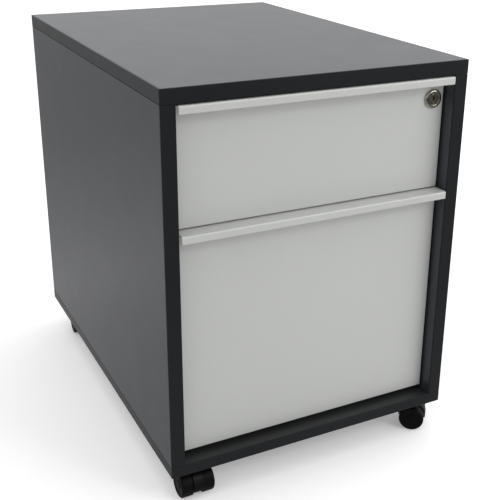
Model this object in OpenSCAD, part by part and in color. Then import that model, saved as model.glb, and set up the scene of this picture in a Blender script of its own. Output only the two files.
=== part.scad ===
// Rolling pedestal cabinet: melamine carcass on four twin-wheel casters,
// a shallow upper drawer with a cam lock and a deep lower filing drawer.
// Origin: floor level, under the centre of the carcass. +X right, +Y back, +Z up.

/* [Carcass] */
// Overall width of the carcass
carcass_w = 428; // [400:1:480]
// Depth of the carcass without the handles
carcass_d = 600; // [590:1:780]
// Height of the carcass without the casters
carcass_h = 516; // [500:1:560]
// Thickness of the top and side boards
board_t = 19; // [16:0.5:22]
// Thickness of the bottom board
base_t = 16; // [16:0.5:22]
// Thickness of the back board
back_t = 8; // [4:0.5:10]
// Thickness of the edging strips
edge_t = 2; // [1:0.5:2.5]

/* [Drawers] */
// Depth by which the drawer fronts stand back from the carcass edge
front_recess = 20; // [16:0.5:24]
// Height of the upper drawer front with its handle
upper_front_h = 156.2; // [150:0.1:165]
// Gap between the fronts and above the upper one
front_gap = 1.8; // [1.5:0.1:3]
// Gap under the lower front
floor_gap = 7; // [3:0.5:9]
// Gap at each side of the fronts
side_gap = 2.5; // [2:0.1:4]
// Depth of the folded front pans
front_t = 18; // [16:0.5:22]
// Length of the drawer trays
tray_l = 520; // [505:1:525]
// Height of the upper tray
upper_tray_h = 95; // [80:1:100]
// Height of the lower tray
lower_tray_h = 250; // [200:1:262]
// Sheet thickness of the trays
sheet_t = 1; // [0.8:0.1:1.5]

/* [Handles] */
// Height of the turned-down lip
lip_h = 10; // [8:0.5:14]
// Distance by which the lip stands in front of the carcass
lip_proud = 2.5; // [0:0.5:4]
// Thickness of the handle profile
handle_t = 1.5; // [1.2:0.1:2]

/* [Slides] */
// Length of the ball slides
slide_l = 500; // [450:10:500]

/* [Lock] */
// Diameter of the lock rosette
lock_d = 26; // [22:0.5:28]
// Distance from the lock axis to the carcass inner wall
lock_inset = 20.2; // [19:0.1:24]
// Distance from the lock axis to the top of the upper drawer
lock_drop = 31.9; // [30:0.1:40]

/* [Casters] */
// Height from the floor to the carcass underside
caster_h = 47; // [46:0.5:56]
// Diameter of the caster wheels
wheel_d = 37; // [34:0.5:38]
// Width over both wheels of a caster
twin_w = 47.5; // [44:0.5:52]
// Distance from the swivel axis to the wheel axis
trail = 17.5; // [16:0.5:20]
// Distance from the side of the carcass to the swivel axis
caster_inset_x = 39; // [36:1:60]
// Distance from the front of the carcass to the front swivel axes
caster_inset_y = 39; // [38:1:70]
// Distance from the back of the carcass to the rear swivel axes
caster_inset_back = 47; // [38:1:70]

/* [Hidden] */

// colours
MELAMINE = [0.20, 0.21, 0.22];
EDGING = [0.22, 0.23, 0.24];
FRONT = [0.72, 0.73, 0.72];
HANDLE = [0.79, 0.80, 0.79];
TRAY = [0.60, 0.61, 0.61];
ZINC = [0.75, 0.76, 0.78];
CHROME = [0.82, 0.82, 0.80];
BLACK = [0.07, 0.07, 0.07];
BEECH = [0.78, 0.62, 0.42];

// carcass planes
front_y = -carcass_d / 2;
rear_y = front_y + carcass_d;
under_z = caster_h;                              // underside of the bottom board
top_z = under_z + carcass_h;
floor_z = under_z + base_t;                      // upper face of the bottom board
ceiling_z = top_z - board_t;                     // under face of the top board
side_x = carcass_w / 2;                          // outer face of the right side board
wall_x = side_x - board_t;                       // its inner face

// drawer planes
face_y = front_y + front_recess;                 // face of the fronts
tray_y = face_y + front_t;                       // back of the fronts, front of the trays
tray_end_y = tray_y + tray_l;
front_x = wall_x - side_gap;                     // right edge of the fronts
upper_top = ceiling_z - front_gap;               // top of the upper handle
upper_bottom = upper_top - upper_front_h;
lower_top = upper_bottom - front_gap;
lower_bottom = floor_z + floor_gap;
slide_room = 12.7;                               // between wall and tray
tray_x = wall_x - slide_room;                    // outer face of the right tray wall
tray_lift = 10;                                  // trays above the lower edge of the fronts
upper_tray_z = upper_bottom + tray_lift;
lower_tray_z = lower_bottom + tray_lift;
upper_slide_z = upper_tray_z + upper_tray_h / 2; // slide axes
lower_slide_z = lower_tray_z + 60;
slide_y = tray_y + 2;                            // front end of the slides

// screws
screw_r = 2;
sunk_head_r = 3.2;                               // countersunk heads
flat_head_r = 3.6;                               // cylindrical heads
wood_screw_l = 13;                               // depth from the face of the metal sheet

module rod(r, h, n = 40) { cylinder(r = r, h = h, $fn = n); }
module along_x(x, y, z, r, l, n = 40) { translate([x, y, z]) rotate([0, 90, 0]) rod(r, l, n); }
module along_y(x, y, z, r, l, n = 40) { translate([x, y, z]) rotate([-90, 0, 0]) rod(r, l, n); }
// box between two opposite corners
module block(a, b) { translate(a) cube([b[0] - a[0], b[1] - a[1], b[2] - a[2]]); }
module both_sides() { for (s = [0, 1]) mirror([s, 0, 0]) children(); }
module on_left() { mirror([1, 0, 0]) children(); }

// ---------------------------------------------------------------- carcass
groove_d = 6;                                    // depth of the back board's groove
back_y = rear_y - 12 - back_t;                   // front face of the back board
board_mid_x = side_x - board_t / 2;              // middle of the side boards

// joints between the side boards and the top and bottom boards
DOWEL_Y = [front_y + 92, rear_y - 102];
CAM_Y = [front_y + 60, rear_y - 70];
joint_depth = 10;                                // dowels and bolts in the top and bottom boards
dowel_r = 4;
dowel_reach = 20;                                // dowels in the side boards
bolt_r = 3;
bolt_hole_r = 3.1;
bolt_hole_l = 8;
cam_r = 7.5;
cam_t = 13;
cam_reach = 24;                                  // cam axis from the end of the side board
// height of the cam axis, lower end of the bolt hole relative to it
CAM_JOINTS = [[ceiling_z - cam_reach, 0], [floor_z + cam_reach, -bolt_hole_l]];
cross_l = 8;                                     // driver cross of the cam discs
cross_w = 1.2;
cross_d = 1.6;

// lock strike
strike_y = tray_y + 5;
strike_l = 32;
strike_h = 20;
strike_flange_w = 7;
strike_flange_t = 1.5;
STRIKE_SCREW_Y = [strike_y + 10, strike_y + 24];
lock_x = wall_x - lock_inset;
lock_z = upper_top - lock_drop;

rail_t = 1.2;                                    // sheet of the slides and the strike
WALL_SCREW_Y = [slide_y + 37, slide_y + 225, slide_y + slide_l - 40];

module joint_dowels() {
  both_sides() for (z = [ceiling_z - dowel_reach, floor_z - joint_depth], y = DOWEL_Y)
    translate([board_mid_x, y, z]) rod(dowel_r, dowel_reach + joint_depth, 24);
}
module joint_bolts() {
  both_sides() for (z = [ceiling_z - cam_reach, floor_z - joint_depth], y = CAM_Y)
    translate([board_mid_x, y, z]) rod(bolt_r, cam_reach + joint_depth, 24);
}
module joint_holes() {
  joint_dowels();
  joint_bolts();
}
module cam_blank(y, z) { along_x(wall_x, y, z, cam_r, cam_t, 32); }
module cam_disc(y, z, hole_z) {
  difference() {
    cam_blank(y, z);
    translate([board_mid_x, y, z + hole_z]) rod(bolt_hole_r, bolt_hole_l, 24);
    translate([board_mid_x, y, z - bolt_hole_r]) rod(bolt_hole_r, 2 * bolt_hole_r, 24);
    for (bar = [[cross_l, cross_w], [cross_w, cross_l]])
      block([wall_x - 1, y - bar[0] / 2, z - bar[1] / 2],
            [wall_x + cross_d, y + bar[0] / 2, z + bar[1] / 2]);
  }
}
// along +Z, with the head filling the thickness of a rail web
module countersunk_screw(shank_l) {
  cylinder(r1 = sunk_head_r, r2 = screw_r, h = rail_t, $fn = 32);
  translate([0, 0, rail_t]) rod(screw_r, shank_l, 32);
}
// screw from the inside into the right wall
module wall_screw(y, z) {
  translate([wall_x - rail_t, y, z]) rotate([0, 90, 0]) countersunk_screw(wood_screw_l - rail_t);
}
module slide_wall_screws(z) { for (y = WALL_SCREW_Y) wall_screw(y, z); }
module all_slide_wall_screws() { for (z = [upper_slide_z, lower_slide_z]) slide_wall_screws(z); }
module strike_screws() { for (y = STRIKE_SCREW_Y) wall_screw(y, lock_z); }
module back_board() {
  block([-wall_x - groove_d, back_y, floor_z - groove_d],
        [wall_x + groove_d, back_y + back_t, ceiling_z + groove_d]);
}

module top_panel() {
  color(MELAMINE) difference() {
    block([-side_x + edge_t, front_y + edge_t, ceiling_z], [side_x - edge_t, rear_y - edge_t, top_z]);
    joint_holes();
    back_board();
  }
}
module bottom_panel() {
  color(MELAMINE) difference() {
    block([-side_x + edge_t, front_y + edge_t, under_z], [side_x - edge_t, rear_y - edge_t, floor_z]);
    joint_holes();
    back_board();
    caster_screws();
  }
}
// right side board; children are cut away as well
module side_board() {
  difference() {
    block([wall_x, front_y + edge_t, floor_z], [side_x, rear_y - edge_t, ceiling_z]);
    joint_holes();
    for (joint = CAM_JOINTS, y = CAM_Y) cam_blank(y, joint[0]);
    back_board();
    all_slide_wall_screws();
    children();
  }
}
module right_side_panel() { color(MELAMINE) side_board() strike_screws(); }
module left_side_panel() { color(MELAMINE) on_left() side_board(); }
module back_panel() { color(MELAMINE) back_board(); }
module edge_bands() {
  color(EDGING) {
    // front and back strips of the top and bottom boards, then their side strips
    for (z = [[ceiling_z, top_z], [under_z, floor_z]]) {
      for (y = [front_y, rear_y - edge_t])
        block([-side_x, y, z[0]], [side_x, y + edge_t, z[1]]);
      for (x = [-side_x, side_x - edge_t])
        block([x, front_y + edge_t, z[0]], [x + edge_t, rear_y - edge_t, z[1]]);
    }
    // front and back strips of the side boards
    for (x = [-side_x, wall_x], y = [front_y, rear_y - edge_t])
      block([x, y, floor_z], [x + board_t, y + edge_t, ceiling_z]);
  }
}
module panel_dowels() { color(BEECH) joint_dowels(); }
module cam_discs() {
  color(ZINC) both_sides() for (joint = CAM_JOINTS, y = CAM_Y) cam_disc(y, joint[0], joint[1]);
}
module cam_bolts() { color(ZINC) joint_bolts(); }
module carcass_screws() {
  color(ZINC) {
    both_sides() all_slide_wall_screws();
    strike_screws();
    caster_screws();
  }
}
module lock_strike() {
  // plate on the right wall with a flange along its front edge
  z0 = lock_z - strike_h / 2;
  z1 = lock_z + strike_h / 2;
  color(ZINC) difference() {
    union() {
      block([wall_x - rail_t, strike_y, z0], [wall_x, strike_y + strike_l, z1]);
      block([wall_x - strike_flange_w, strike_y, z0], [wall_x, strike_y + strike_flange_t, z1]);
    }
    strike_screws();
  }
}

// ---------------------------------------------------------------- slides
ball_d = 4.2;
ball_gap = 4.3;                                  // height between the flanges of nested rails
rail_lip = 1.2;                                  // height of the lips on the flanges
upper_outer_h = 35;                              // rail heights
lower_outer_h = 45;
function nested_h(h) = h - 2 * rail_t - 2 * ball_gap;
upper_inner_h = nested_h(upper_outer_h);
lower_mid_h = nested_h(lower_outer_h);
lower_inner_h = nested_h(lower_mid_h);
outer_depth = 10.5;                              // rail widths across X
mid_depth = 8.2;
upper_inner_depth = 9;
lower_inner_depth = 7.2;
mid_offset = 2.4;                                // wall to the web of the middle rail
TRAY_SCREW_Y = [slide_y + 60, slide_y + slide_l - 110];
tray_screw_out = 2.2;                            // screw end inside the tray wall

cage_t = 0.6;                                    // ball cage strip
arm_t = 1;                                       // bent arms of the cage
arm_over = 2.9;                                  // arm past the ball centres
cage_end = 5;                                    // cage end to the first ball
pocket_h = 4;
fit = 0.05;                                      // radial running clearance

// rail open towards the middle of the cabinet; web_x is the inner face of its web
module lipped_rail(h, web_x, z, depth) {
  y0 = slide_y;
  y1 = slide_y + slide_l;
  outer_x = web_x + rail_t;
  block([web_x, y0, z - h / 2], [outer_x, y1, z + h / 2]);
  // undersides of a flange and of its lip, relative to the rail axis
  for (edge = [[h / 2 - rail_t, h / 2 - rail_t - rail_lip], [-h / 2, -h / 2 + rail_t]]) {
    block([outer_x - depth, y0, z + edge[0]], [outer_x, y1, z + edge[0] + rail_t]);
    block([outer_x - depth, y0, z + edge[1]],
          [outer_x - depth + rail_t, y1, z + edge[1] + rail_lip]);
  }
}
module outer_rail(h, z) {
  color(ZINC) difference() {
    lipped_rail(h, wall_x - rail_t, z, outer_depth);
    slide_wall_screws(z);
  }
}
module mid_rail() {
  color(ZINC) lipped_rail(lower_mid_h, wall_x - mid_offset - rail_t, lower_slide_z, mid_depth);
}
// screws from the inner rail into the right tray wall
module tray_screws(z) {
  for (y = TRAY_SCREW_Y) translate([tray_x + rail_t, y, z]) rotate([0, -90, 0])
    countersunk_screw(sheet_t + tray_screw_out);
}
// rail on the tray, open towards the wall
module inner_rail(h, z, depth) {
  y1 = slide_y + slide_l;
  color(ZINC) difference() {
    union() {
      block([tray_x, slide_y, z - h / 2], [tray_x + rail_t, y1, z + h / 2]);
      for (flange = [h / 2 - rail_t, -h / 2])
        block([tray_x, slide_y, z + flange], [tray_x + depth, y1, z + flange + rail_t]);
    }
    tray_screws(z);
  }
}
// Strip with bent arms and two rows of balls, each ball in its own round pocket.
// rail_h: height of the rail around it; strip and ball: distances from the wall;
// start: distance from the front end of the slide
module ball_cages(rail_h, strip, ball, start, l, z, count) {
  row = (rail_h - 2 * rail_t - ball_gap) / 2;
  strip_x = wall_x - strip;
  ball_x = wall_x - ball;
  y0 = slide_y + start;
  ball_ys = [for (i = [0 : count - 1]) y0 + cage_end + i * (l - 2 * cage_end) / (count - 1)];
  color(ZINC) both_sides() {
    difference() {
      union() {
        block([strip_x, y0, z - row - arm_t / 2], [strip_x + cage_t, y0 + l, z + row + arm_t / 2]);
        for (s = [-1, 1])
          block([ball_x - arm_over, y0, z + s * row - arm_t / 2],
                [strip_x + cage_t, y0 + l, z + s * row + arm_t / 2]);
      }
      for (s = [-1, 1], y = ball_ys)
        translate([ball_x, y, z + s * row - pocket_h / 2]) rod(ball_d / 2 + fit, pocket_h, 32);
    }
    for (s = [-1, 1], y = ball_ys) translate([ball_x, y, z + s * row]) sphere(d = ball_d, $fn = 24);
  }
}

module upper_slide_outer_right() { outer_rail(upper_outer_h, upper_slide_z); }
module upper_slide_outer_left() { on_left() upper_slide_outer_right(); }
module lower_slide_outer_right() { outer_rail(lower_outer_h, lower_slide_z); }
module lower_slide_outer_left() { on_left() lower_slide_outer_right(); }
module upper_slide_inner_right() { inner_rail(upper_inner_h, upper_slide_z, upper_inner_depth); }
module upper_slide_inner_left() { on_left() upper_slide_inner_right(); }
module lower_slide_inner_right() { inner_rail(lower_inner_h, lower_slide_z, lower_inner_depth); }
module lower_slide_inner_left() { on_left() lower_slide_inner_right(); }
module lower_slide_mid_right() { mid_rail(); }
module lower_slide_mid_left() { on_left() mid_rail(); }
module upper_ball_cages() {
  ball_cages(rail_h = upper_outer_h, strip = 2.1, ball = 7, start = 190, l = 120,
             z = upper_slide_z, count = 6);
}
module lower_ball_cages_outer() {
  ball_cages(rail_h = lower_outer_h, strip = 2.1, ball = 6.5, start = 135, l = 90,
             z = lower_slide_z, count = 5);
}
module lower_ball_cages_inner() {
  ball_cages(rail_h = lower_mid_h, strip = 4.5, ball = 7.2, start = 240, l = 90,
             z = lower_slide_z, count = 5);
}
module upper_slide_screws() { color(ZINC) both_sides() tray_screws(upper_slide_z); }
module lower_slide_screws() { color(ZINC) both_sides() tray_screws(lower_slide_z); }

// ---------------------------------------------------------------- drawers
skin = 1.2;                                      // sheet of the fronts
pan_r = 1.5;                                     // rounding of the upright front edges
boss_r = 5;
front_screw_l = 12;                              // screw depth in the bosses
front_head_h = 2.2;
grip_r = 2.2;                                    // rounding of the handle
return_h = 8;                                    // rear leg of the handle
fold_w = 10;                                     // folded top edge of the tray backs
FRONT_SCREW_X = [-tray_x + 24, tray_x - 24];
UPPER_SCREW_Z = [upper_tray_z + 20, upper_tray_z + upper_tray_h - 25];
LOWER_SCREW_Z = [lower_tray_z + 25, lower_tray_z + lower_tray_h - 30];

file_rail_drop = 22;                             // tray rim to the underside of the file rails
file_rail_w = 9;
file_rail_t = 1.5;
file_rail_inner_h = 16;
file_rail_outer_h = 10;
file_rail_front = 4;                             // clearances to the ends of the tray
file_rail_rear = 14;

module front_screws(zs) {
  for (x = FRONT_SCREW_X, z = zs) {
    along_y(x, tray_y - front_screw_l, z, screw_r, front_screw_l + sheet_t, 32);
    along_y(x, tray_y + sheet_t, z, flat_head_r, front_head_h, 32);
  }
}
module front_bosses(zs) {
  for (x = FRONT_SCREW_X, z = zs)
    along_y(x, face_y + skin - 0.1, z, boss_r, front_t - skin + 0.1, 32);
}
// folded sheet pan, open to the back
module front_pan(z0, z1) {
  difference() {
    translate([0, 0, z0]) linear_extrude(z1 - z0) union() {
      translate([-front_x, face_y + pan_r]) square([2 * front_x, front_t - pan_r]);
      translate([-front_x + pan_r, face_y]) square([2 * front_x - 2 * pan_r, pan_r + 0.01]);
      for (s = [-1, 1]) translate([s * (front_x - pan_r), face_y + pan_r]) circle(r = pan_r, $fn = 32);
    }
    block([-front_x + skin, face_y + skin, z0 + skin], [front_x - skin, tray_y + 1, z1 - skin]);
  }
}
// pan with bosses for the tray screws; children are cut away as well
module drawer_front(bottom, top, screw_zs) {
  color(FRONT) difference() {
    union() {
      front_pan(bottom, top - handle_t);
      front_bosses(screw_zs);
    }
    front_screws(screw_zs);
    children();
  }
}
// profile over the top of a front: rounded grip lip before it, short leg behind it
module handle_strip(top) {
  lip_y = front_y - lip_proud;
  color(HANDLE) translate([-front_x, 0, 0]) rotate([90, 0, 90]) linear_extrude(2 * front_x) union() {
    translate([lip_y + grip_r, top - handle_t])
      square([tray_y + handle_t - lip_y - grip_r, handle_t]);
    translate([lip_y, top - lip_h]) square([handle_t, lip_h - grip_r]);
    // upper front quarter of a ring
    translate([lip_y + grip_r, top - grip_r]) difference() {
      circle(r = grip_r, $fn = 48);
      circle(r = grip_r - handle_t, $fn = 48);
      translate([0, -grip_r - 1]) square([grip_r + 1, 2 * grip_r + 2]);
      translate([-grip_r - 1, -grip_r - 1]) square([2 * grip_r + 2, grip_r + 1]);
    }
    translate([tray_y, top - return_h]) square([handle_t, return_h]);
  }
}
// floor, front and side walls
module tray(z0, h, screw_zs, slide_z) {
  color(TRAY) difference() {
    block([-tray_x, tray_y, z0], [tray_x, tray_end_y, z0 + h]);
    block([-tray_x + sheet_t, tray_y + sheet_t, z0 + sheet_t],
          [tray_x - sheet_t, tray_end_y + 1, z0 + h + 1]);
    front_screws(screw_zs);
    both_sides() tray_screws(slide_z);
  }
}
// rear wall with a folded top edge
module tray_back(z0, h) {
  inside_x = tray_x - sheet_t;
  color(TRAY) {
    block([-inside_x, tray_end_y - sheet_t, z0 + sheet_t], [inside_x, tray_end_y, z0 + h]);
    block([-inside_x, tray_end_y - fold_w, z0 + h - sheet_t], [inside_x, tray_end_y, z0 + h]);
  }
}

module upper_front() {
  drawer_front(upper_bottom, upper_top, UPPER_SCREW_Z)
    at_lock() along_y(0, face_y - 1, 0, barrel_r, 30, 48);
}
module lower_front() { drawer_front(lower_bottom, lower_top, LOWER_SCREW_Z); }
module upper_handle() { handle_strip(upper_top); }
module lower_handle() { handle_strip(lower_top); }
module upper_tray() { tray(upper_tray_z, upper_tray_h, UPPER_SCREW_Z, upper_slide_z); }
module lower_tray() { tray(lower_tray_z, lower_tray_h, LOWER_SCREW_Z, lower_slide_z); }
module upper_tray_back() { tray_back(upper_tray_z, upper_tray_h); }
module lower_tray_back() { tray_back(lower_tray_z, lower_tray_h); }
module file_rails() {
  // channels along both tray walls that carry hanging files
  x1 = tray_x - sheet_t;
  x0 = x1 - file_rail_w;
  y0 = tray_y + file_rail_front;
  y1 = tray_end_y - file_rail_rear;
  z0 = lower_tray_z + lower_tray_h - file_rail_drop;
  color(ZINC) both_sides() {
    block([x0, y0, z0], [x1, y1, z0 + file_rail_t]);
    block([x0, y0, z0], [x0 + file_rail_t, y1, z0 + file_rail_inner_h]);
    block([x1 - file_rail_t, y0, z0], [x1, y1, z0 + file_rail_outer_h]);
  }
}
module upper_front_screws() { color(ZINC) front_screws(UPPER_SCREW_Z); }
module lower_front_screws() { color(ZINC) front_screws(LOWER_SCREW_Z); }

// ---------------------------------------------------------------- lock
barrel_r = 9.5;
barrel_end_y = strike_y + 1.7;
plug_r = 8;                                      // bore of the housing
rosette_proud = 4;                               // rosette in front of the drawer face
rosette_rim = 1;                                 // straight part of its edge
rosette_round = rosette_proud - rosette_rim;
mouth_y = 3.2;                                   // step of the mouth, before the drawer face
mouth_r = plug_r + 1;
nut_r = 13;                                      // over the corners
nut_t = 4;
plug_proud = 3;
keyway_d = 14;                                   // depth behind the drawer face
drive = 3;                                       // half width of the square drive
drive_l = 2.3;
cam_gap = 0.2;                                   // barrel end to the cam
lock_cam_t = 2;
cam_hub_r = 6.5;
cam_arm_r = 5;                                   // half width of the arm and its round end
cam_screw_r = 1.5;
cam_screw_d = 8;                                 // depth in the plug
cam_head_r = 4.5;
cam_head_h = 1.8;

module at_lock() { translate([lock_x, 0, lock_z]) children(); }

module lock_housing() {
  // domed rosette in front, barrel with a bore for the plug
  rosette_r = lock_d / 2;
  color(CHROME) at_lock() translate([0, face_y, 0]) rotate([-90, 0, 0])
    rotate_extrude($fn = 96) difference() {
      union() {
        translate([0, -rosette_rim]) square([rosette_r, rosette_rim]);
        translate([0, -rosette_proud]) square([rosette_r - rosette_round, rosette_proud]);
        intersection() {
          translate([rosette_r - rosette_round, -rosette_rim]) circle(r = rosette_round, $fn = 64);
          translate([0, -rosette_proud]) square([lock_d, rosette_proud]);
        }
        translate([0, -0.01]) square([barrel_r, barrel_end_y - face_y + 0.01]);
      }
      translate([-1, -5]) square([mouth_r + 1, 5 - mouth_y]);
      translate([-1, -5]) square([plug_r + 1, 60]);
    }
}
module lock_nut() {
  // hexagonal ring nut drawn up against the inside of the front
  color(ZINC) at_lock() difference() {
    translate([0, face_y + skin, 0]) rotate([-90, 0, 0]) cylinder(r = nut_r, h = nut_t, $fn = 6);
    along_y(0, face_y, 0, barrel_r, 10, 48);
  }
}
module lock_plug() {
  color(CHROME) at_lock() difference() {
    union() {
      along_y(0, face_y - plug_proud, 0, plug_r - fit, barrel_end_y - face_y + plug_proud, 64);
      along_y(0, face_y - mouth_y, 0, plug_r - 0.8, 0.5, 64);
      block([-drive, barrel_end_y - 0.1, -drive], [drive, barrel_end_y + drive_l, drive]);
    }
    // upright keyway, widened across its middle
    block([-0.95, face_y - 4, -2.4], [0.95, face_y + keyway_d, 4.2]);
    block([-1.5, face_y - 4, 0.4], [1.5, face_y + keyway_d, 1.8]);
    // dimple below it
    translate([0, face_y - 3.8, -5]) sphere(r = 1.1, $fn = 24);
    along_y(0, barrel_end_y - cam_screw_d, 0, cam_screw_r, 12, 24);
  }
}
module lock_cam() {
  // flat cam that turns behind the strike
  color(ZINC) at_lock() difference() {
    translate([0, barrel_end_y + cam_gap, 0]) union() {
      along_y(0, 0, 0, cam_hub_r, lock_cam_t, 48);
      block([-cam_arm_r, 0, 0], [cam_arm_r, lock_cam_t, 13]);
      along_y(0, 0, 12.5, cam_arm_r, lock_cam_t, 48);
    }
    block([-drive, barrel_end_y - 1, -drive], [drive, barrel_end_y + 3, drive]);
  }
}
module lock_cam_screw() {
  // slotted screw into the end of the plug
  color(ZINC) at_lock() {
    along_y(0, barrel_end_y - cam_screw_d, 0, cam_screw_r, cam_screw_d + 2.5, 24);
    difference() {
      along_y(0, barrel_end_y + drive_l, 0, cam_head_r, cam_head_h, 32);
      block([-5, barrel_end_y + 3.4, -0.5], [5, barrel_end_y + 5, 0.5]);
    }
  }
}

// ---------------------------------------------------------------- casters
swivel_x = side_x - caster_inset_x;
swivel_front_y = front_y + caster_inset_y;
swivel_rear_y = rear_y - caster_inset_back;
// swivel axis x, y and the angle about Z at which the wheels stand
FRONT_LEFT = [-swivel_x, swivel_front_y, 0];
FRONT_RIGHT = [swivel_x, swivel_front_y, 50];
BACK_LEFT = [-swivel_x, swivel_rear_y, -4];
BACK_RIGHT = [swivel_x, swivel_rear_y, 35];
CASTERS = [FRONT_LEFT, FRONT_RIGHT, BACK_LEFT, BACK_RIGHT];

plate_t = 2;
plate_w = 38;
plate_hole = 14;                                 // screw holes from the axis, in x and y
plate_z = under_z - plate_t;
plate_head_h = 1.6;
pin_r = 4;
wheel_r = wheel_d / 2;
wheel_w = 16;
axle_r = 2.5;
axle_inset = 3.2;                                // axle end inside the outer wheel face
gap_w = twin_w - 2 * wheel_w;                    // space between the wheels
hood_w = gap_w - 1.4;
hood_r = wheel_r + 1.6;
hood_top = plate_z - 0.5;
turret_r = 10.5;
wheel_clear = 0.7;                               // hood round the wheels
shade_inset = 4;                                 // shade inside the outer wheel faces
over = 40;                                       // generous reach of the trimming shapes
tyre_round = 3;
hub_end = 3;                                     // wheel closed outside the axle bore

module plate_screws() {
  for (x = [-plate_hole, plate_hole], y = [-plate_hole, plate_hole]) translate([x, y, 0]) {
    translate([0, 0, plate_z - plate_head_h]) rod(flat_head_r, plate_head_h, 32);
    translate([0, 0, plate_z]) rod(screw_r, wood_screw_l, 32);
  }
}
module caster_screws() {
  for (place = CASTERS) translate([place[0], place[1], 0]) plate_screws();
}
// swivel pin with a collar; heights are relative to the underside of the plate
module swivel_pin(r, collar_r, top, bottom, collar_top, collar_bottom) {
  translate([0, 0, plate_z]) rotate_extrude($fn = 64)
    polygon([[0, top], [0, bottom], [r, bottom], [r, collar_bottom], [collar_r, collar_bottom],
             [collar_r, collar_top], [r, collar_top], [r, top]]);
}
module caster_plates() {
  color(ZINC) for (place = CASTERS) translate([place[0], place[1], 0]) {
    difference() {
      block([-plate_w / 2, -plate_w / 2, plate_z], [plate_w / 2, plate_w / 2, under_z]);
      plate_screws();
    }
    swivel_pin(r = pin_r, collar_r = pin_r + 0.6, top = 0.5, bottom = -19,
               collar_top = -8.2, collar_bottom = -9.4);
  }
}

// frame of one caster: swivel axis on Z, wheels at -Y
module at_caster(place) {
  translate([place[0], place[1], 0]) rotate([0, 0, place[2]]) children();
}
// cylinder on the wheel axis from x over a length l
module on_axle(x, r, l, n) { along_x(x, -trail, wheel_r, r, l, n); }

module caster_hood(place) {
  half = hood_w / 2;
  color(BLACK) at_caster(place) difference() {
    union() {
      // web between the wheels, rounded over the wheel tops
      on_axle(-half, hood_r - 3.5, hood_w, 64);
      intersection() {
        on_axle(-half, hood_r, hood_w, 96);
        block([-half, -trail - over, wheel_r - 4], [half, 10, wheel_r + over]);
      }
      block([-half, -trail, wheel_r], [half, 0, wheel_r + 12]);
      // turret round the swivel pin
      translate([0, 0, wheel_r - 1]) rod(half, 6, 64);
      translate([0, 0, wheel_r + 4]) rod(turret_r, hood_top - wheel_r - 4, 64);
      // shade over both wheels
      intersection() {
        difference() {
          on_axle(-twin_w / 2 + shade_inset, hood_r + 0.6, twin_w - 2 * shade_inset, 96);
          on_axle(-twin_w / 2 - 1, wheel_r + wheel_clear, twin_w + 2, 96);
        }
        block([-twin_w / 2, -trail - 8, wheel_r + 6], [twin_w / 2, 14, wheel_r + over]);
      }
    }
    // bore for the pin with a groove for its collar
    swivel_pin(r = pin_r + fit, collar_r = pin_r + 0.7, top = 1, bottom = -19.6,
               collar_top = -8, collar_bottom = -9.6);
    on_axle(-30, axle_r, 60, 48);
    // room for the wheels
    both_sides() on_axle(gap_w / 2 - 0.35, wheel_r + wheel_clear, over, 96);
  }
}
module caster_axle(place) {
  color(ZINC) at_caster(place)
    on_axle(-twin_w / 2 + axle_inset, axle_r, twin_w - 2 * axle_inset, 48);
}
// cup-shaped wheel, dished outside, hub with a blind bore; side is -1 left, 1 right
module caster_wheel(place, side) {
  inner = gap_w / 2;
  outer = twin_w / 2;
  color(BLACK) at_caster(place) translate([0, -trail, wheel_r])
    mirror([side < 0 ? 1 : 0, 0, 0]) rotate([0, 90, 0]) rotate_extrude($fn = 96) difference() {
      union() {
        translate([0, inner]) square([wheel_r, wheel_w - tyre_round]);
        translate([0, inner]) square([wheel_r - tyre_round, wheel_w]);
        translate([wheel_r - tyre_round, outer - tyre_round]) circle(r = tyre_round, $fn = 48);
      }
      translate([-1, inner - 1]) square([axle_r + fit + 1, wheel_w - hub_end + 1]);
      // deep inner ring, then the shallow outer dish
      translate([6, inner - 1]) square([8.5, 12]);
      translate([7, outer - 0.8]) square([6.5, 2]);
    }
}
module caster_fl_hood() { caster_hood(FRONT_LEFT); }
module caster_fl_axle() { caster_axle(FRONT_LEFT); }
module caster_fl_wheel_left() { caster_wheel(FRONT_LEFT, -1); }
module caster_fl_wheel_right() { caster_wheel(FRONT_LEFT, 1); }
module caster_fr_hood() { caster_hood(FRONT_RIGHT); }
module caster_fr_axle() { caster_axle(FRONT_RIGHT); }
module caster_fr_wheel_left() { caster_wheel(FRONT_RIGHT, -1); }
module caster_fr_wheel_right() { caster_wheel(FRONT_RIGHT, 1); }
module caster_bl_hood() { caster_hood(BACK_LEFT); }
module caster_bl_axle() { caster_axle(BACK_LEFT); }
module caster_bl_wheel_left() { caster_wheel(BACK_LEFT, -1); }
module caster_bl_wheel_right() { caster_wheel(BACK_LEFT, 1); }
module caster_br_hood() { caster_hood(BACK_RIGHT); }
module caster_br_axle() { caster_axle(BACK_RIGHT); }
module caster_br_wheel_left() { caster_wheel(BACK_RIGHT, -1); }
module caster_br_wheel_right() { caster_wheel(BACK_RIGHT, 1); }

top_panel();
bottom_panel();
left_side_panel();
right_side_panel();
back_panel();
edge_bands();
panel_dowels();
cam_discs();
cam_bolts();
upper_slide_outer_left();
upper_slide_outer_right();
lower_slide_outer_left();
lower_slide_outer_right();
carcass_screws();
lock_strike();
caster_plates();
upper_front();
upper_handle();
upper_tray();
upper_tray_back();
upper_front_screws();
upper_slide_inner_left();
upper_slide_inner_right();
upper_slide_screws();
lock_housing();
lock_nut();
lock_plug();
lock_cam();
lock_cam_screw();
upper_ball_cages();
lower_front();
lower_handle();
lower_tray();
lower_tray_back();
file_rails();
lower_front_screws();
lower_slide_inner_left();
lower_slide_inner_right();
lower_slide_screws();
lower_slide_mid_left();
lower_slide_mid_right();
lower_ball_cages_outer();
lower_ball_cages_inner();
caster_fl_hood();
caster_fl_axle();
caster_fl_wheel_left();
caster_fl_wheel_right();
caster_fr_hood();
caster_fr_axle();
caster_fr_wheel_left();
caster_fr_wheel_right();
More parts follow.
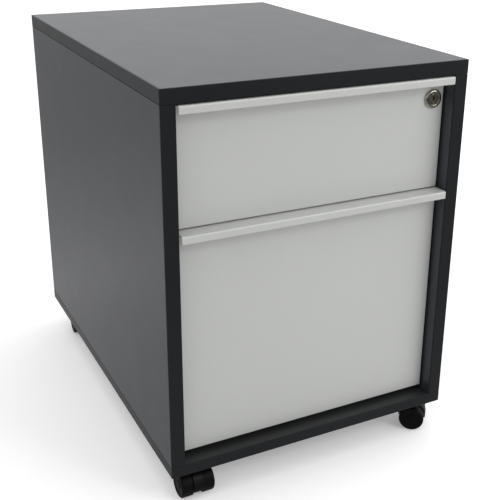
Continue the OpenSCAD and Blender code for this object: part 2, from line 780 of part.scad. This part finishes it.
caster_bl_hood();
caster_bl_axle();
caster_bl_wheel_left();
caster_bl_wheel_right();
caster_br_hood();
caster_br_axle();
caster_br_wheel_left();
caster_br_wheel_right();
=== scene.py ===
"""Two-drawer pedestal on wheels, standing on the floor at z = 0.

Metres. Width runs along X (left is -X), depth along Y (front is -Y), height along Z.
The CAD pieces get procedural finishes, and the carcass edge bands become separate strips.
"""

import bpy
from mathutils import Matrix, Vector


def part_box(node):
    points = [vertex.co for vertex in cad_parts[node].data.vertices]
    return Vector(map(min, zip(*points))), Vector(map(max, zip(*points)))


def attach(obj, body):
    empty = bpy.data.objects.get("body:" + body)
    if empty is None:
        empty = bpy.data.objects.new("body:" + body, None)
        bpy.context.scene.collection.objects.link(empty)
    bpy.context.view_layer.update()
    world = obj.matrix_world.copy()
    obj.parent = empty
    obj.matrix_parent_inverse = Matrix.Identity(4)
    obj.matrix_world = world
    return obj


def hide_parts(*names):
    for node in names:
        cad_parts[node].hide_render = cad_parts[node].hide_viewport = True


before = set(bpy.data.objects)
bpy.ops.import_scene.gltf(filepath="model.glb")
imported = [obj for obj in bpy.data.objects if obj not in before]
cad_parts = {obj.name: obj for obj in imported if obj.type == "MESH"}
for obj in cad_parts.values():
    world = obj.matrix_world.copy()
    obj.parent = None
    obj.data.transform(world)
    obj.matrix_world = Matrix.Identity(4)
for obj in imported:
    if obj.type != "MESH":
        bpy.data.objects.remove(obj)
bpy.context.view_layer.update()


# ------------------------------------------------------------------ shader helpers
def feed(tree, target, inputs):
    """Fill a node's inputs, by name or index: sockets are linked, other values are set."""
    for key, value in inputs.items():
        if isinstance(value, bpy.types.NodeSocket):
            tree.links.new(value, target.inputs[key])
        else:
            target.inputs[key].default_value = value


def add_node(tree, kind, inputs=None, **settings):
    """Add a node; its settings come first because they decide which inputs it shows."""
    new = tree.nodes.new("ShaderNode" + kind)
    for key, value in settings.items():
        setattr(new, key, value)
    feed(tree, new, inputs or {})
    return new


def add_noise(tree, vector, scale, detail, roughness):
    inputs = {"Vector": vector, "Scale": scale, "Detail": detail, "Roughness": roughness}
    return add_node(tree, "TexNoise", inputs).outputs["Fac"]


def add_range(tree, value, source=(0.0, 1.0), target=(0.0, 1.0)):
    """Map a value from the source range to the target range."""
    inputs = {
        "Value": value,
        "From Min": source[0], "From Max": source[1],
        "To Min": target[0], "To Max": target[1],
    }
    return add_node(tree, "MapRange", inputs).outputs["Result"]


def add_math(tree, operation, *operands):
    inputs = dict(enumerate(operands))
    return add_node(tree, "Math", inputs, operation=operation).outputs["Value"]


def new_material(name):
    material = bpy.data.materials.new(name)
    material.use_nodes = True
    tree = material.node_tree
    tree.nodes.clear()
    output = add_node(tree, "OutputMaterial")
    surface = add_node(tree, "BsdfPrincipled")
    feed(tree, output, {"Surface": surface.outputs["BSDF"]})
    return material, tree, surface


def tint(colour, factor):
    """The colour made lighter or darker, with full alpha."""
    return (*(channel * factor for channel in colour), 1.0)


# ------------------------------------------------------------------ finishes
def base_colour(tree, point, grain_point, colour, tone_spread, tone_scale, grain, grain_scale):
    """Broad tone variation multiplied by fine grain."""
    broad = add_noise(tree, point, scale=tone_scale, detail=4.0, roughness=0.55)
    tones = add_node(tree, "ValToRGB", {"Fac": broad})
    dark, light = tones.color_ramp.elements
    dark.position, light.position = 0.3, 0.7
    dark.color = tint(colour, 1 - tone_spread)
    light.color = tint(colour, 1 + tone_spread)

    fine = add_noise(tree, grain_point, scale=grain_scale, detail=3.0, roughness=0.6)
    factor = add_range(tree, fine, target=(1 - grain * 2, 1 + grain * 2))
    inputs = {0: tones.outputs["Color"], "Scale": factor}
    return add_node(tree, "VectorMath", inputs, operation="SCALE").outputs["Vector"]


def wear_mask(tree, point, soft_normal, wear):
    """Patchy wear on edges, found where the softened normal leaves the true one."""
    true_normal = add_node(tree, "NewGeometry").outputs["Normal"]
    normals = {0: soft_normal, 1: true_normal}
    match = add_node(tree, "VectorMath", normals, operation="DOT_PRODUCT")
    edge = add_range(tree, match.outputs["Value"], source=(0.995, 0.80))
    patches = add_noise(tree, point, scale=85.0, detail=5.0, roughness=0.65)
    patches = add_range(tree, patches, source=(0.42, 0.62))
    mask = add_math(tree, "MULTIPLY", edge, patches)
    return add_math(tree, "MULTIPLY", mask, wear)


def make_finish(name, colour, roughness, metallic=0.0, specular=0.5, coat=0.0,
                tone_spread=0.08, tone_scale=6.0,  # broad variation of the colour
                grain=0.04, grain_scale=900.0,  # fine variation of the colour
                gloss_spread=0.06,  # roughness varies by this much either way
                relief=0.12, relief_scale=700.0, relief_height=0.00006,
                stretch=(1, 1, 1),  # scales the grain and relief pattern per axis
                wear=0.5, wear_colour=None, wear_radius=0.0009):
    """Procedural finish: uneven tone and gloss, grain, micro relief and worn edges."""
    material, tree, surface = new_material(name)
    point = add_node(tree, "TexCoord").outputs["Object"]
    mapping = add_node(tree, "Mapping", {"Vector": point, "Scale": stretch})
    grain_point = mapping.outputs["Vector"]
    soft = add_node(tree, "Bevel", {"Radius": wear_radius}, samples=4)
    soft_normal = soft.outputs["Normal"]

    grained = base_colour(tree, point, grain_point, colour, tone_spread, tone_scale,
                          grain, grain_scale)
    # colour mix: 6 is the clean colour, 7 the worn one
    worn = add_node(tree, "Mix", {
        "Factor": wear_mask(tree, point, soft_normal, wear),
        6: grained,
        7: (*wear_colour, 1.0) if wear_colour else tint(colour, 1.6),
    }, data_type="RGBA")

    gloss = add_noise(tree, point, scale=22.0, detail=5.0, roughness=0.6)
    gloss = add_range(tree, gloss, source=(0.25, 0.75),
                      target=(roughness - gloss_spread, roughness + gloss_spread))
    height = add_noise(tree, grain_point, scale=relief_scale, detail=4.0, roughness=0.6)
    bump = add_node(tree, "Bump", {
        "Strength": relief,
        "Distance": relief_height,
        "Height": height,
        "Normal": soft_normal,
    })
    feed(tree, surface, {
        "Base Color": worn.outputs[2],
        "Roughness": gloss,
        "Normal": bump.outputs["Normal"],
        "Metallic": metallic,
        "Specular IOR Level": specular,
        "Coat Weight": coat,
        "Coat Roughness": 0.2,
    })
    return material


MELAMINE = make_finish(
    "melamine_board", colour=(0.030, 0.033, 0.040), roughness=0.40, specular=0.52,
    tone_spread=0.05, grain=0.08, grain_scale=1100, gloss_spread=0.015,
    relief=0.3, relief_scale=1500, relief_height=0.00004,
    wear=0.3, wear_colour=(0.06, 0.062, 0.065))
# Painted shade: a darker, duller copy of the board melamine for the bottom board, whose top is
# seen only in the shadow under the lower drawer.
SHADED_MELAMINE = make_finish(
    "melamine_painted_shade", colour=(0.018, 0.019, 0.019), roughness=0.46, specular=0.36,
    tone_spread=0.07, grain=0.09, grain_scale=1100, gloss_spread=0.03,
    relief=0.35, relief_scale=1500, relief_height=0.00005, wear=0.2)
EDGING = make_finish(
    "edging_strip", colour=(0.0102, 0.0121, 0.0136), roughness=0.42, specular=0.20,
    tone_spread=0.08, grain=0.06, grain_scale=1400, gloss_spread=0.04,
    relief=0.25, relief_scale=1200, relief_height=0.00004,
    wear=0.55, wear_colour=(0.055, 0.058, 0.062), wear_radius=0.0007)
# Painted light: a lighter, glossier copy of the same edge band, used only on the side strips so
# they read brighter where light falls on the sides.
EDGING_SIDE_LIT = make_finish(
    "edging_strip_side_painted_light", colour=(0.0142, 0.0163, 0.0189), roughness=0.42, specular=0.27,
    tone_spread=0.06, grain=0.06, grain_scale=1400, gloss_spread=0.03,
    relief=0.25, relief_scale=1200, relief_height=0.00004,
    wear=0.3, wear_colour=(0.055, 0.058, 0.062), wear_radius=0.0005)
# Painted shadow: a near-black strip filling the seam between each side strip and its board,
# standing in for the shadow in the joint.
SEAM_SHADE = make_finish(
    "painted_seam_shadow", colour=(0.0030, 0.0030, 0.0032), roughness=0.60, specular=0.06,
    tone_spread=0.12, tone_scale=30, grain=0.08, grain_scale=1500, gloss_spread=0.04,
    relief=0.2, relief_scale=1500, relief_height=0.00002,
    wear=0.1, wear_colour=(0.010, 0.010, 0.010))
BEECH = make_finish(
    "beech_dowel", colour=(0.56, 0.36, 0.18), roughness=0.65,
    tone_spread=0.15, grain=0.12, grain_scale=350, stretch=(1, 1, 0.15),
    relief=0.4, relief_scale=500, wear=0.2)
FRONT = make_finish(
    "front_powder_coat", colour=(0.565, 0.575, 0.560), roughness=0.36, metallic=0.12, coat=0.05,
    tone_spread=0.018, tone_scale=3.0, grain=0.012, grain_scale=1600, gloss_spread=0.03,
    relief=0.22, relief_scale=1900, relief_height=0.00003,
    wear=0.35, wear_colour=(0.70, 0.70, 0.68))
HANDLE = make_finish(
    "handle_powder_coat", colour=(0.550, 0.558, 0.538), roughness=0.44, metallic=0.12, coat=0.05,
    tone_spread=0.018, tone_scale=5.0, grain=0.012, grain_scale=1600, gloss_spread=0.04,
    relief=0.2, relief_scale=1900, relief_height=0.00003,
    wear=0.4, wear_colour=(0.78, 0.78, 0.76))
TRAY = make_finish(
    "tray_powder_coat", colour=(0.34, 0.35, 0.35), roughness=0.48,
    tone_spread=0.04, grain=0.04, gloss_spread=0.05, relief=0.4, relief_scale=1300,
    wear=0.5, wear_colour=(0.5, 0.5, 0.5))
ZINC = make_finish(
    "zinc_steel", colour=(0.55, 0.56, 0.58), roughness=0.34, metallic=0.9,
    tone_spread=0.10, tone_scale=30, grain=0.05, grain_scale=500, stretch=(1, 0.06, 1),
    gloss_spread=0.08, relief=0.25, relief_scale=500,
    wear=0.3, wear_colour=(0.75, 0.75, 0.76))
NICKEL = make_finish(
    "polished_nickel", colour=(0.48, 0.455, 0.39), roughness=0.11, metallic=1.0,
    tone_spread=0.05, tone_scale=60, grain=0.02, gloss_spread=0.04, relief=0.04,
    wear=0.25, wear_colour=(0.60, 0.58, 0.53), wear_radius=0.0005)
PLUG = make_finish(
    "lock_plug_brass", colour=(0.30, 0.275, 0.22), roughness=0.26, metallic=1.0,
    tone_spread=0.08, tone_scale=90, grain=0.05, grain_scale=2000, gloss_spread=0.06,
    relief=0.15, relief_scale=1500,
    wear=0.4, wear_colour=(0.6, 0.57, 0.48), wear_radius=0.0004)
BLACK = make_finish(
    "moulded_black", colour=(0.0032, 0.0032, 0.0035), roughness=0.42, specular=0.13,
    tone_spread=0.12, tone_scale=40, grain=0.08, grain_scale=1500, gloss_spread=0.07,
    relief=0.4, relief_scale=1600, relief_height=0.00006,
    wear=0.6, wear_colour=(0.035, 0.035, 0.036))
WHEEL = make_finish(
    "wheel_black", colour=(0.0028, 0.0028, 0.0030), roughness=0.50, specular=0.10,
    tone_spread=0.18, tone_scale=55, grain=0.15, grain_scale=1300, gloss_spread=0.08,
    relief=0.55, relief_scale=1100, relief_height=0.00010,
    wear=0.7, wear_colour=(0.022, 0.022, 0.022))

FINISH_OF_PIECE = {
    "top_panel": MELAMINE, "bottom_panel": SHADED_MELAMINE, "back_panel": MELAMINE,
    "left_side_panel": MELAMINE, "right_side_panel": MELAMINE,
    "edge_bands": EDGING, "panel_dowels": BEECH,
    "upper_front": FRONT, "lower_front": FRONT,
    "upper_handle": HANDLE, "lower_handle": HANDLE,
    "upper_tray": TRAY, "lower_tray": TRAY,
    "upper_tray_back": TRAY, "lower_tray_back": TRAY,
    "lock_housing": NICKEL, "lock_plug": PLUG,
}


def finish_for(name):
    """The finish of a CAD piece; pieces outside the table go by their name, else zinc."""
    if name in FINISH_OF_PIECE:
        return FINISH_OF_PIECE[name]
    if "_wheel_" in name:
        return WHEEL
    return BLACK if name.endswith("_hood") else ZINC


for name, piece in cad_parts.items():
    for slot in piece.material_slots:
        slot.material = finish_for(name)


# ------------------------------------------------------------------ edging strips
SEAM = 0.0009  # height of the painted seam shadow strip above or below a side strip
SEAM_SHADE_INSET = 0.00025  # the painted seam shadow strip lies this far inside the outer side face
POST_GAP = 0.0004  # hairline at each end of an upright strip
STRIP_ROUNDING = 0.0005
SEAM_SHADE_ROUNDING = 0.0001


def new_object(name, data):
    obj = bpy.data.objects.new(name, data)
    bpy.context.collection.objects.link(obj)
    return obj


def add_strip(name, x_span, y_span, z_span, finish, rounding=STRIP_ROUNDING):
    """One box-shaped strip with softened edges, riding on the carcass."""
    mesh = bpy.data.meshes.new(name)
    corners = [(x, y, z) for x in x_span for y in y_span for z in z_span]
    faces = [(0, 1, 3, 2), (4, 6, 7, 5), (0, 4, 5, 1), (2, 3, 7, 6), (0, 2, 6, 4), (1, 5, 7, 3)]
    mesh.from_pydata(corners, [], faces)
    mesh.update()
    for face in mesh.polygons:
        face.use_smooth = True
    mesh.materials.append(finish)

    strip = new_object(name, mesh)
    soften = strip.modifiers.new("soften", "BEVEL")
    soften.width = rounding
    soften.segments = 3
    soften.limit_method = "NONE"
    strip.modifiers.new("normals", "WEIGHTED_NORMAL")

    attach(strip, "carcass")
    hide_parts("edge_bands")


def add_edging():
    """Strips around the top and base boards, then the four upright corner strips."""
    low, high = (Vector(corner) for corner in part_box("edge_bands"))
    top_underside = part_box("top_panel")[0][2]
    base_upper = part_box("bottom_panel")[1][2]
    side_panel_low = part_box("right_side_panel")[0]
    inner_x = side_panel_low[0]
    thickness = side_panel_low[1] - low.y

    front = (low.y, low.y + thickness)
    back = (high.y - thickness, high.y)
    between = (front[1], back[0])
    full_width = (low.x, high.x)
    left = (low.x, low.x + thickness)
    right = (high.x - thickness, high.x)
    top_seam = top_underside + SEAM
    base_seam = base_upper - SEAM

    # board, then the heights of its front and back strips, side strips and painted seam shadow
    # strips
    boards = (
        ("top", (top_underside, high.z), (top_seam, high.z), (top_underside, top_seam)),
        ("base", (low.z, base_upper), (low.z, base_seam), (base_seam, base_upper)),
    )
    # side, then the widths of its strip and painted seam shadow strip
    sides = (
        ("left", left, (left[0] + SEAM_SHADE_INSET, left[1])),
        ("right", right, (right[0], right[1] - SEAM_SHADE_INSET)),
    )
    for board, board_z, side_z, shade_z in boards:
        add_strip(f"edging_{board}_front", full_width, front, board_z, EDGING)
        add_strip(f"edging_{board}_back", full_width, back, board_z, EDGING)
        for side, strip_x, shade_x in sides:
            add_strip(f"edging_{board}_{side}", strip_x, between, side_z, EDGING_SIDE_LIT)
            # near-black strip in the seam: painted shadow of the board joint
            add_strip(f"painted_seam_shadow_{board}_{side}", shade_x, between, shade_z, SEAM_SHADE, SEAM_SHADE_ROUNDING)

    post_z = (base_upper + POST_GAP, top_underside - POST_GAP)
    for side, post_x in (("left", (low.x, -inner_x)), ("right", (inner_x, high.x))):
        add_strip(f"edging_{side}_front", post_x, front, post_z, EDGING)
        add_strip(f"edging_{side}_back", post_x, back, post_z, EDGING)


add_edging()

# ------------------------------------------------------------------ floor
FLOOR_HALF = 14.0
FLOOR_TONE = 0.72  # base colour for every ray but glossy ones
CAMERA_TONE = 0.18  # added to the base colour for the camera
CAMERA_GLOW = 0.24  # emission seen by the camera
# y, brightness of the floor's painted reflection glow, emission that only reflections see
PAINTED_REFLECTION_GLOW = (
    (-1.8, 0.07), (-0.42, 0.46), (-0.05, 0.54), (0.25, 0.67),
    (0.46, 0.84), (0.75, 0.66), (1.44, 0.45), (1.9, 0.44),
)


def painted_reflection_glow(tree):
    """Painted reflection: floor emission that only glossy rays see, darkest far in front."""
    position = add_node(tree, "NewGeometry").outputs["Position"]
    split = add_node(tree, "SeparateXYZ", {"Vector": position})
    near_y, near_level = PAINTED_REFLECTION_GLOW[0]
    far_y, far_level = PAINTED_REFLECTION_GLOW[-1]
    along = add_range(tree, split.outputs["Y"], source=(near_y, far_y))
    ramp = add_node(tree, "ValToRGB", {"Fac": along})
    stops = ramp.color_ramp.elements
    for y, level in PAINTED_REFLECTION_GLOW[1:-1]:
        stops.new((y - near_y) / (far_y - near_y)).color = tint((level,) * 3, 1)
    stops[0].color = tint((near_level,) * 3, 1)
    stops[-1].color = tint((far_level,) * 3, 1)
    return ramp.outputs["Color"]


def floor_material():
    """Pale to the camera; reflections see only the painted reflection glow, not the lit floor.
    """
    material, tree, surface = new_material("studio_floor")
    rays = add_node(tree, "LightPath").outputs
    camera_ray, glossy_ray = rays["Is Camera Ray"], rays["Is Glossy Ray"]
    tone = add_math(tree, "MULTIPLY_ADD", glossy_ray, -FLOOR_TONE, FLOOR_TONE)
    pale = add_math(tree, "MULTIPLY_ADD", camera_ray, CAMERA_TONE, tone)
    # painted reflection: the floor glows for glossy rays only
    painted_reflection_level = add_math(tree, "MULTIPLY", painted_reflection_glow(tree), glossy_ray)
    glow = add_math(tree, "MULTIPLY_ADD", camera_ray, CAMERA_GLOW, painted_reflection_level)
    feed(tree, surface, {
        "Base Color": pale,
        "Emission Color": (1, 1, 1, 1),
        "Emission Strength": glow,
        "Roughness": 0.9,
        "Specular IOR Level": 0.1,
    })
    return material


def add_floor():
    mesh = bpy.data.meshes.new("studio_floor")
    signs = ((-1, -1), (1, -1), (1, 1), (-1, 1))
    corners = [(x * FLOOR_HALF, y * FLOOR_HALF, 0) for x, y in signs]
    mesh.from_pydata(corners, [], [(0, 1, 2, 3)])
    floor = new_object("studio_floor", mesh)
    mesh.materials.append(floor_material())


add_floor()


# ------------------------------------------------------------------ world and lights
def add_world():
    """Soft dome: bright above and behind, quieter low in front."""
    world = bpy.data.worlds.new("studio")
    bpy.context.scene.world = world
    world.use_nodes = True
    tree = world.node_tree
    tree.nodes.clear()
    direction = add_node(tree, "TexCoord").outputs["Generated"]
    split = add_node(tree, "SeparateXYZ", {"Vector": direction}).outputs
    depth_level = add_range(tree, split["Y"], source=(-1.0, 0.6), target=(0.42, 1.18))
    height_level = add_range(tree, split["Z"], source=(0.0, 0.9), target=(0.85, 1.30))
    strength = add_math(tree, "MULTIPLY", depth_level, height_level)
    dome = add_node(tree, "Background", {"Color": (1, 1, 1, 1), "Strength": strength})
    add_node(tree, "OutputWorld", {"Surface": dome.outputs["Background"]})


def add_softbox(name, location, aim, width, height, watts):
    """Rectangular area light turned towards the aim point."""
    light = bpy.data.lights.new(name, "AREA")
    light.shape = "RECTANGLE"
    light.size = width
    light.size_y = height
    light.energy = watts
    softbox = new_object(name, light)
    softbox.location = location
    direction = Vector(aim) - Vector(location)
    softbox.rotation_euler = direction.to_track_quat("-Z", "Y").to_euler()


add_world()
add_softbox("key", location=(2.1, -2.3, 1.5), aim=(0, -0.3, 0.3),
            width=2.4, height=2.0, watts=33)
add_softbox("lock_glint", location=(0.7, -1.9, 1.7), aim=(0.17, -0.28, 0.5),
            width=0.35, height=0.35, watts=4.5)

# ------------------------------------------------------------------ camera
CAMERA_PLACE = (-0.54602, -1.21246, 0.78394)
CAMERA_RIGHT = (0.8888, -0.4582, 0.0129)
CAMERA_AHEAD = (0.4320, 0.8280, -0.3575)


def add_camera():
    lens = bpy.data.cameras.new("camera")
    lens.sensor_width = 36.0
    lens.lens = 64.26
    lens.shift_x = -0.0476
    lens.shift_y = -0.0668
    lens.clip_start = 0.01
    lens.clip_end = 100
    camera = new_object("camera", lens)

    # square the right axis to the view direction
    ahead = Vector(CAMERA_AHEAD).normalized()
    right = Vector(CAMERA_RIGHT).normalized()
    right = (right - ahead * right.dot(ahead)).normalized()
    up = right.cross(ahead).normalized()
    turn = Matrix((right, up, -ahead)).transposed()
    camera.matrix_world = Matrix.Translation(CAMERA_PLACE) @ turn.to_4x4()
    bpy.context.scene.camera = camera


add_camera()
bpy.context.scene.view_settings.view_transform = "Standard"
bpy.context.scene.view_settings.look = "None"
